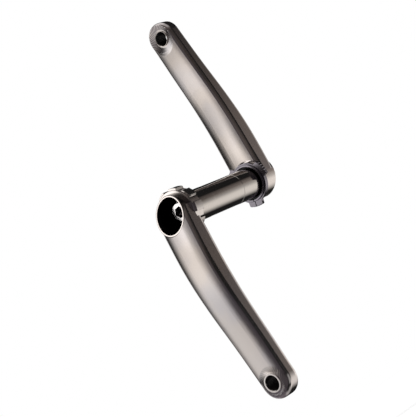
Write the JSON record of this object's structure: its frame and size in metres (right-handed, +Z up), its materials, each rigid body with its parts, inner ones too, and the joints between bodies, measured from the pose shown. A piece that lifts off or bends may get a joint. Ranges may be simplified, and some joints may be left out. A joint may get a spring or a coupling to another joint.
{
  "type": "bicycle crankset",
  "caption": "Hollow welded titanium bicycle crankset: opposed arms with threaded pedal eyes, hollow spindle, face coupling, splined chainring mount and preload ring.",
  "frame": {"origin": "on the spindle axis, midway between the two pedal faces", "axes": "+X forward, +Y along the spindle towards the left arm, +Z up along the left arm"},
  "size_m": [0.0474, 0.1798, 0.3828],
  "materials": {
    "arm_titanium": "satin, finely brushed",
    "turned_titanium": "turned and polished",
    "mount_titanium": "machined",
    "spindle_titanium": "ground, polished",
    "bolt_steel": "turned",
    "washer_steel": "turned",
    "anodised_aluminium": "grey anodised",
    "screw_steel": "bright"
  },
  "bodies": {
    "crankset": {"right_arm_outer_shell": "arm_titanium", "right_arm_inner_shell": "arm_titanium", "right_hub_sleeve": "turned_titanium", "right_pedal_sleeve": "turned_titanium", "chainring_spline_flange": "mount_titanium", "crank_bolt": "bolt_steel", "crank_bolt_washer": "washer_steel", "spindle_coupling": "spindle_titanium", "spindle_tube": "spindle_titanium", "left_arm_outer_shell": "arm_titanium", "left_arm_inner_shell": "arm_titanium", "left_hub_sleeve": "turned_titanium", "left_pedal_sleeve": "turned_titanium"},
    "adjuster": {"preload_adjuster": "anodised_aluminium", "adjuster_pinch_screw": "screw_steel"}
  },
  "joints": [
    {"name": "preload_turn", "type": "hinge", "parent": "crankset", "child": "adjuster", "pos_m": [0, 0.0542, 0], "axis": [0, 1, 0], "range_deg": [-270, 0]}
  ]
}
